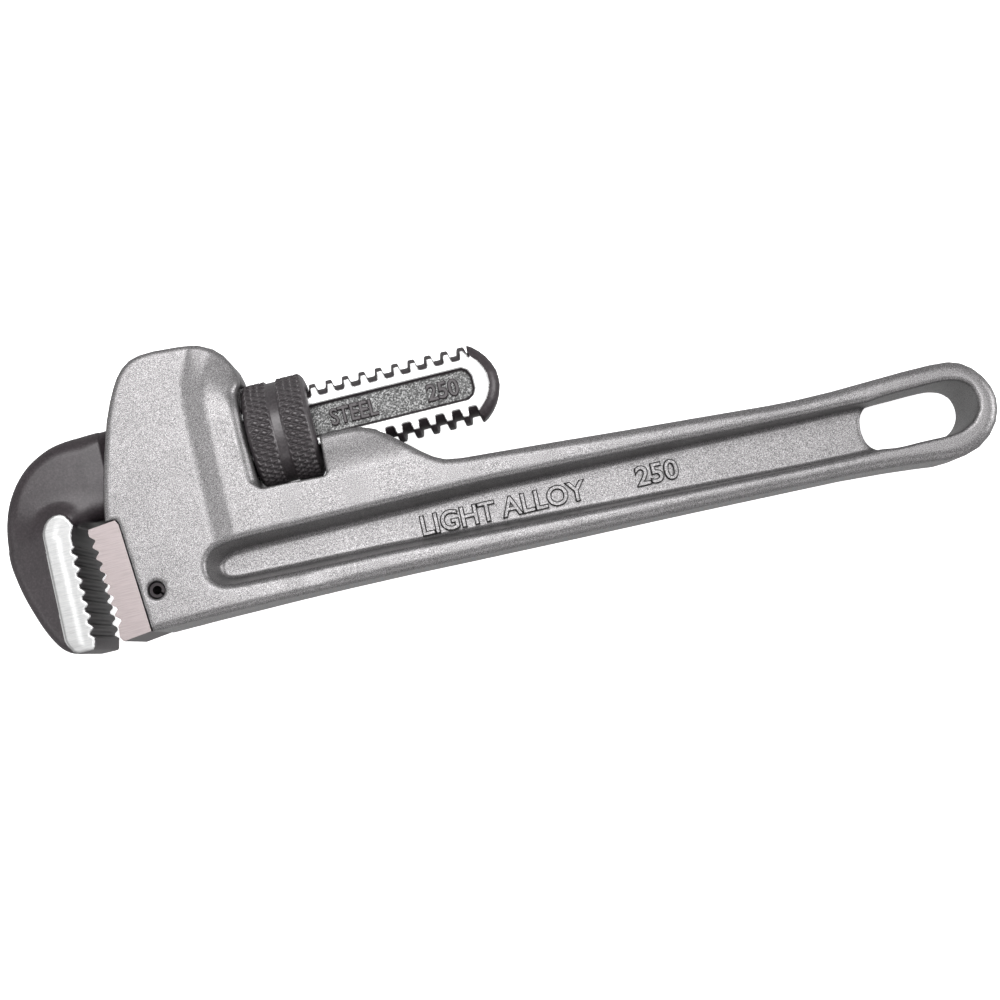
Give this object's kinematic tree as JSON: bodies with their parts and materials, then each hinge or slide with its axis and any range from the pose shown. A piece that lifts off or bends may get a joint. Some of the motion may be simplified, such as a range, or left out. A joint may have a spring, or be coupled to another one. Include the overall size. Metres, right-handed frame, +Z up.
{
  "type": "pipe wrench",
  "caption": "Straight pipe wrench with a toothed hook jaw on a threaded shank, a knurled adjusting nut and an I-beam handle with a hang-up loop.",
  "frame": {"origin": "bottom centre of the box round the wrench at rest, lying flat on one side", "axes": "+X along the jaw's shank from the hook towards the handle's end, +Y from the handle towards the adjusting nut, +Z up through the thickness"},
  "size_m": [0.2126, 0.0636, 0.0264],
  "materials": {
    "aluminium_paint": "cast aluminium with sparkling silver paint",
    "black_oxide": "forged steel, black oxide, ground bright on the thread's flats and the jaw's sides",
    "ground_steel": "ground tool steel with fine lines",
    "spring_steel": "plain spring steel"
  },
  "bodies": {
    "handle": {"handle": "aluminium_paint", "heel_jaw": "ground_steel", "heel_jaw_pin": "spring_steel"},
    "rocker": {"flat_spring": "spring_steel", "coil_spring": "spring_steel", "spring_rivet": "spring_steel"},
    "hook": {"hook_jaw": "black_oxide"},
    "nut": {"adjusting_nut": "black_oxide"}
  },
  "joints": [
    {"name": "jaw_rock", "type": "hinge", "parent": "handle", "child": "rocker", "pos_m": [-0.0515, -0.0016, 0.0132], "axis": [0, 0, -1], "range_deg": [0, 3], "stiffness_Nm_per_rad": 1.2, "springref_deg": -2.29},
    {"name": "jaw_slide", "type": "slide", "parent": "rocker", "child": "hook", "axis": [-1, 0, 0], "range_m": [-0.003, 0.035]},
    {"name": "nut_spin", "type": "hinge", "parent": "rocker", "child": "nut", "pos_m": [-0.0442, 0.00995, 0.0132], "axis": [1, 0, 0], "range_deg": [-295, 3425]}
  ],
  "couplings": [
    {"joint": "nut_spin", "follows": "jaw_slide", "rad_per_m": 1707.4}
  ]
}
